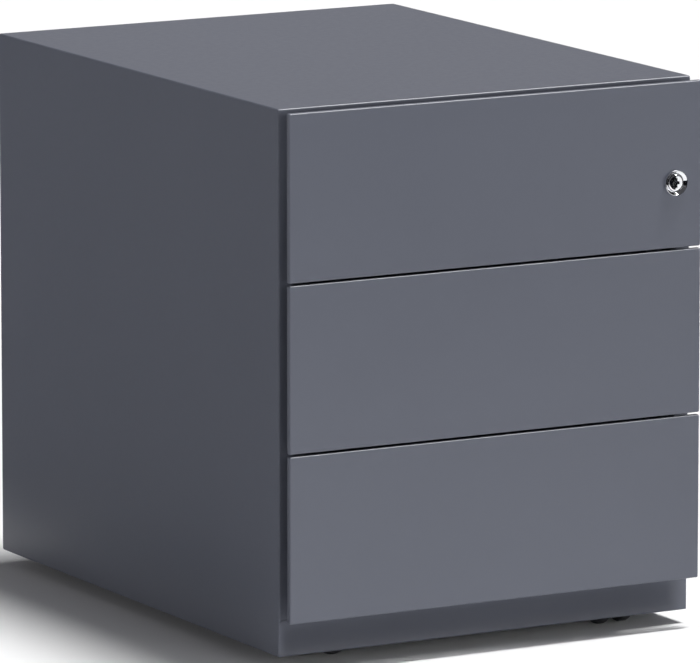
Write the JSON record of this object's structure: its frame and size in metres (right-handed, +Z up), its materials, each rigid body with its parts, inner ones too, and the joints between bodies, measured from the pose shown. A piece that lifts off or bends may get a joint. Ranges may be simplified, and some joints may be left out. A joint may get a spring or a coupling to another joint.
{
  "type": "rolling pedestal cabinet",
  "caption": "Low steel under-desk cabinet on hidden twin castors, with full-width handleless drawers one above another, side finger gaps and a cylinder lock on the top drawer.",
  "frame": {"origin": "on the floor under the middle of the cabinet's box", "axes": "+Z up, the drawers open towards -Y, +X to the right when facing the drawers"},
  "size_m": [0.42, 0.563, 0.5],
  "materials": {
    "carcass_paint": "fine-texture satin powder coat, anthracite grey",
    "drawer_paint": "fine-texture satin powder coat, anthracite grey",
    "inner_paint": "satin powder coat on inner steelwork",
    "zinc_plate": "bright zinc plate on pressed steel",
    "bright_chrome": "polished chrome plate",
    "bright_steel": "turned and ground steel",
    "castor_plastic": "moulded black polyamide",
    "wheel_plastic": "moulded black polyamide tread"
  },
  "bodies": {
    "carcass": {"body_shell": "carcass_paint", "back_panel": "carcass_paint", "base_pan": "carcass_paint", "plinth_rail": "carcass_paint", "upright_front_left": "zinc_plate", "upright_front_right": "zinc_plate", "upright_rear_left": "zinc_plate", "upright_rear_right": "zinc_plate", "bottom_runner_left_outer": "zinc_plate", "bottom_runner_right_outer": "zinc_plate", "middle_runner_left_outer": "zinc_plate", "middle_runner_right_outer": "zinc_plate", "top_runner_left_outer": "zinc_plate", "top_runner_right_outer": "zinc_plate", "castor_front_left_plate": "zinc_plate", "castor_front_right_plate": "zinc_plate", "castor_rear_left_plate": "zinc_plate", "castor_rear_right_plate": "zinc_plate"},
    "bottom_drawer": {"bottom_drawer_front": "drawer_paint", "bottom_front_carrier": "inner_paint", "bottom_tray": "inner_paint", "bottom_runner_left_inner": "zinc_plate", "bottom_runner_right_inner": "zinc_plate"},
    "bottom_extension": {"bottom_runner_left_middle": "zinc_plate", "bottom_runner_right_middle": "zinc_plate"},
    "middle_drawer": {"middle_drawer_front": "drawer_paint", "middle_front_carrier": "inner_paint", "middle_tray": "inner_paint", "middle_runner_left_inner": "zinc_plate", "middle_runner_right_inner": "zinc_plate"},
    "middle_extension": {"middle_runner_left_middle": "zinc_plate", "middle_runner_right_middle": "zinc_plate"},
    "top_drawer": {"top_drawer_front": "drawer_paint", "top_front_carrier": "inner_paint", "top_tray": "inner_paint", "top_runner_left_inner": "zinc_plate", "top_runner_right_inner": "zinc_plate", "lock_housing": "bright_chrome", "lock_nut": "zinc_plate"},
    "top_extension": {"top_runner_left_middle": "zinc_plate", "top_runner_right_middle": "zinc_plate"},
    "lock_plug": {"lock_plug": "bright_steel", "lock_cam": "zinc_plate"},
    "lock_bar": {"lock_bar": "zinc_plate"},
    "castor_front_left": {"castor_front_left_body": "castor_plastic", "castor_front_left_axle": "bright_steel"},
    "castor_front_left_wheel_a": {"castor_front_left_wheel_a": "wheel_plastic"},
    "castor_front_left_wheel_b": {"castor_front_left_wheel_b": "wheel_plastic"},
    "castor_front_right": {"castor_front_right_body": "castor_plastic", "castor_front_right_axle": "bright_steel"},
    "castor_front_right_wheel_a": {"castor_front_right_wheel_a": "wheel_plastic"},
    "castor_front_right_wheel_b": {"castor_front_right_wheel_b": "wheel_plastic"},
    "castor_rear_left": {"castor_rear_left_body": "castor_plastic", "castor_rear_left_axle": "bright_steel"},
    "castor_rear_left_wheel_a": {"castor_rear_left_wheel_a": "wheel_plastic"},
    "castor_rear_left_wheel_b": {"castor_rear_left_wheel_b": "wheel_plastic"},
    "castor_rear_right": {"castor_rear_right_body": "castor_plastic", "castor_rear_right_axle": "bright_steel"},
    "castor_rear_right_wheel_a": {"castor_rear_right_wheel_a": "wheel_plastic"},
    "castor_rear_right_wheel_b": {"castor_rear_right_wheel_b": "wheel_plastic"}
  },
  "joints": [
    {"name": "bottom_drawer_slide", "type": "slide", "parent": "carcass", "child": "bottom_drawer", "axis": [0, -1, 0], "range_m": [0, 0.44]},
    {"name": "bottom_extension_slide", "type": "slide", "parent": "carcass", "child": "bottom_extension", "axis": [0, -1, 0], "range_m": [0, 0.22]},
    {"name": "middle_drawer_slide", "type": "slide", "parent": "carcass", "child": "middle_drawer", "axis": [0, -1, 0], "range_m": [0, 0.44]},
    {"name": "middle_extension_slide", "type": "slide", "parent": "carcass", "child": "middle_extension", "axis": [0, -1, 0], "range_m": [0, 0.22]},
    {"name": "top_drawer_slide", "type": "slide", "parent": "carcass", "child": "top_drawer", "axis": [0, -1, 0], "range_m": [0, 0.44]},
    {"name": "top_extension_slide", "type": "slide", "parent": "carcass", "child": "top_extension", "axis": [0, -1, 0], "range_m": [0, 0.22]},
    {"name": "lock_turn", "type": "hinge", "parent": "top_drawer", "child": "lock_plug", "pos_m": [0.1822, -0.2785, 0.4078], "axis": [0, -1, 0], "range_deg": [0, 90]},
    {"name": "lock_bar_slide", "type": "slide", "parent": "carcass", "child": "lock_bar", "axis": [0, 0, 1], "range_m": [0, 0.01]},
    {"name": "castor_front_left_swivel", "type": "hinge", "parent": "carcass", "child": "castor_front_left", "pos_m": [-0.15, -0.2045, 0.0393], "axis": [0, 0, 1], "continuous": true},
    {"name": "castor_front_left_wheel_a_spin", "type": "hinge", "parent": "castor_front_left", "child": "castor_front_left_wheel_a", "pos_m": [-0.134, -0.2045, 0.0175], "axis": [0, 1, 0], "continuous": true},
    {"name": "castor_front_left_wheel_b_spin", "type": "hinge", "parent": "castor_front_left", "child": "castor_front_left_wheel_b", "pos_m": [-0.134, -0.2045, 0.0175], "axis": [0, 1, 0], "continuous": true},
    {"name": "castor_front_right_swivel", "type": "hinge", "parent": "carcass", "child": "castor_front_right", "pos_m": [0.15, -0.2045, 0.0393], "axis": [0, 0, 1], "continuous": true},
    {"name": "castor_front_right_wheel_a_spin", "type": "hinge", "parent": "castor_front_right", "child": "castor_front_right_wheel_a", "pos_m": [0.15, -0.2205, 0.0175], "axis": [1, 0, 0], "continuous": true},
    {"name": "castor_front_right_wheel_b_spin", "type": "hinge", "parent": "castor_front_right", "child": "castor_front_right_wheel_b", "pos_m": [0.15, -0.2205, 0.0175], "axis": [1, 0, 0], "continuous": true},
    {"name": "castor_rear_left_swivel", "type": "hinge", "parent": "carcass", "child": "castor_rear_left", "pos_m": [-0.15, 0.2215, 0.0393], "axis": [0, 0, 1], "continuous": true},
    {"name": "castor_rear_left_wheel_a_spin", "type": "hinge", "parent": "castor_rear_left", "child": "castor_rear_left_wheel_a", "pos_m": [-0.166, 0.2215, 0.0175], "axis": [0, -1, 0], "continuous": true},
    {"name": "castor_rear_left_wheel_b_spin", "type": "hinge", "parent": "castor_rear_left", "child": "castor_rear_left_wheel_b", "pos_m": [-0.166, 0.2215, 0.0175], "axis": [0, -1, 0], "continuous": true},
    {"name": "castor_rear_right_swivel", "type": "hinge", "parent": "carcass", "child": "castor_rear_right", "pos_m": [0.15, 0.2215, 0.0393], "axis": [0, 0, 1], "continuous": true},
    {"name": "castor_rear_right_wheel_a_spin", "type": "hinge", "parent": "castor_rear_right", "child": "castor_rear_right_wheel_a", "pos_m": [0.158, 0.23536, 0.0175], "axis": [-0.866, 0.5, 0], "continuous": true},
    {"name": "castor_rear_right_wheel_b_spin", "type": "hinge", "parent": "castor_rear_right", "child": "castor_rear_right_wheel_b", "pos_m": [0.158, 0.23536, 0.0175], "axis": [-0.866, 0.5, 0], "continuous": true}
  ],
  "couplings": [
    {"joint": "bottom_extension_slide", "follows": "bottom_drawer_slide", "ratio": 0.5},
    {"joint": "middle_extension_slide", "follows": "middle_drawer_slide", "ratio": 0.5},
    {"joint": "top_extension_slide", "follows": "top_drawer_slide", "ratio": 0.5},
    {"joint": "lock_turn", "follows": "lock_bar_slide", "rad_per_m": 157.08}
  ]
}
